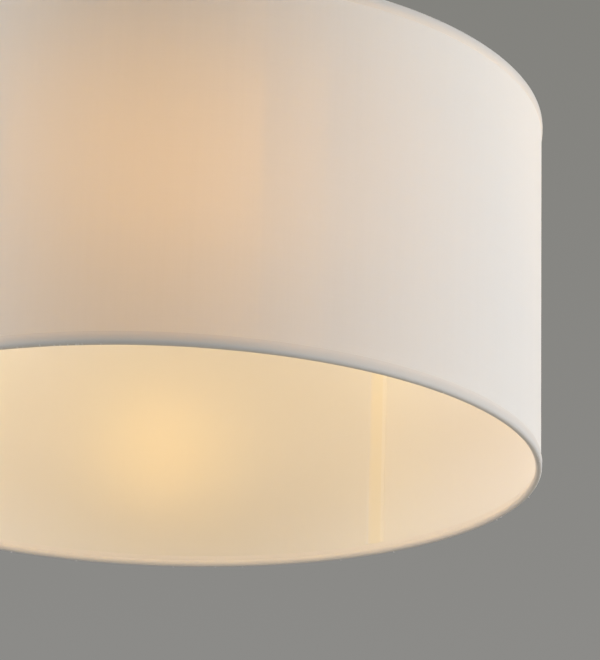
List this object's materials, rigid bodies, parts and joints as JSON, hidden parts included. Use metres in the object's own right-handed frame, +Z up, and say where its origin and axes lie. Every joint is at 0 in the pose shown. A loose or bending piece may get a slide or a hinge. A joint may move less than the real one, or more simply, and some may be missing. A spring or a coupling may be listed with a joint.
{
  "type": "pendant light",
  "caption": "Pendant light: rolled-edge fabric drum shade on a wire spider, clamped by the ring of a threaded-skirt holder that carries a screw-in lamp.",
  "frame": {"origin": "centre of the cord entry, on the flat top of the cord gland", "axes": "+Z up along the lamp's axis, out of the cord entry; -Y towards the picture's camera, +X to its right"},
  "size_m": [0.45, 0.45, 0.263],
  "materials": {
    "white_fabric": "matte woven cover",
    "warm_liner": "satin translucent sheet",
    "hem_cloth": "matte rolled tape",
    "clear_adhesive": "clear film",
    "white_enamel": "satin enamel",
    "white_moulding": "satin moulding",
    "cream_ceramic": "glazed",
    "bright_steel": "drawn wire",
    "brass": "pressed strip",
    "nickel": "nickel plate",
    "opal_glass": "opal",
    "clear_glass": "clear",
    "black_glass": "gloss",
    "solder": "dull",
    "green_board": "lacquered",
    "yellow_phosphor": "matte"
  },
  "bodies": {
    "holder": {"cord_gland": "white_moulding", "gland_locknut": "bright_steel", "cord_clamp_screw": "white_moulding", "holder_cap": "white_moulding", "holder_skirt": "white_moulding", "contact_insert": "cream_ceramic", "thread_shell": "brass", "live_terminal": "brass", "neutral_terminal": "brass", "terminal_screw_live": "nickel", "terminal_screw_neutral": "nickel"},
    "centre_leaf": {"centre_contact": "brass"},
    "plate_carrier": {"fitter_plate": "white_enamel"},
    "ring": {"shade_ring": "white_moulding"},
    "shade": {"shade_fabric": "white_fabric", "shade_liner": "warm_liner", "seam_tape": "clear_adhesive", "top_ring_wire": "bright_steel", "bottom_ring_wire": "bright_steel", "top_hem_tape": "hem_cloth", "bottom_hem_tape": "hem_cloth", "spider_arm_1": "white_enamel", "spider_arm_2": "white_enamel", "spider_arm_3": "white_enamel"},
    "lamp_carrier": {"tip_contact": "solder"},
    "lamp": {"glass_envelope": "opal_glass", "glass_stem": "clear_glass", "filament_carrier_upper": "nickel", "filament_carrier_lower": "nickel", "filament_1": "yellow_phosphor", "filament_2": "yellow_phosphor", "filament_3": "yellow_phosphor", "filament_4": "yellow_phosphor", "lead_wire_live": "nickel", "lead_wire_neutral": "nickel", "driver_board": "green_board", "lamp_cap": "nickel", "cap_insulator": "black_glass"}
  },
  "joints": [
    {"name": "shade_travel", "type": "slide", "parent": "holder", "child": "plate_carrier", "axis": [0, 0, 1], "range_m": [-0.018, 0]},
    {"name": "ring_turn", "type": "hinge", "parent": "plate_carrier", "child": "ring", "pos_m": [0, 0, -0.0594], "axis": [0, 0, 1], "range_deg": [-2595, 0]},
    {"name": "shade_turn", "type": "hinge", "parent": "plate_carrier", "child": "shade", "pos_m": [0, 0, -0.0546], "axis": [0, 0, 1], "continuous": true},
    {"name": "lamp_travel", "type": "slide", "parent": "holder", "child": "lamp_carrier", "axis": [0, 0, 1], "range_m": [-0.0254, 0]},
    {"name": "lamp_turn", "type": "hinge", "parent": "lamp_carrier", "child": "lamp", "pos_m": [0, 0, -0.0604], "axis": [0, 0, 1], "range_deg": [-2523, 0]},
    {"name": "centre_contact_flex", "type": "hinge", "parent": "holder", "child": "centre_leaf", "pos_m": [-0.00935, 0, -0.04505], "axis": [0, -1, 0], "range_deg": [0, 4], "stiffness_Nm_per_rad": 0.2}
  ],
  "couplings": [
    {"joint": "ring_turn", "follows": "shade_travel", "rad_per_m": 2513.3},
    {"joint": "lamp_turn", "follows": "lamp_travel", "rad_per_m": 1731.4}
  ]
}
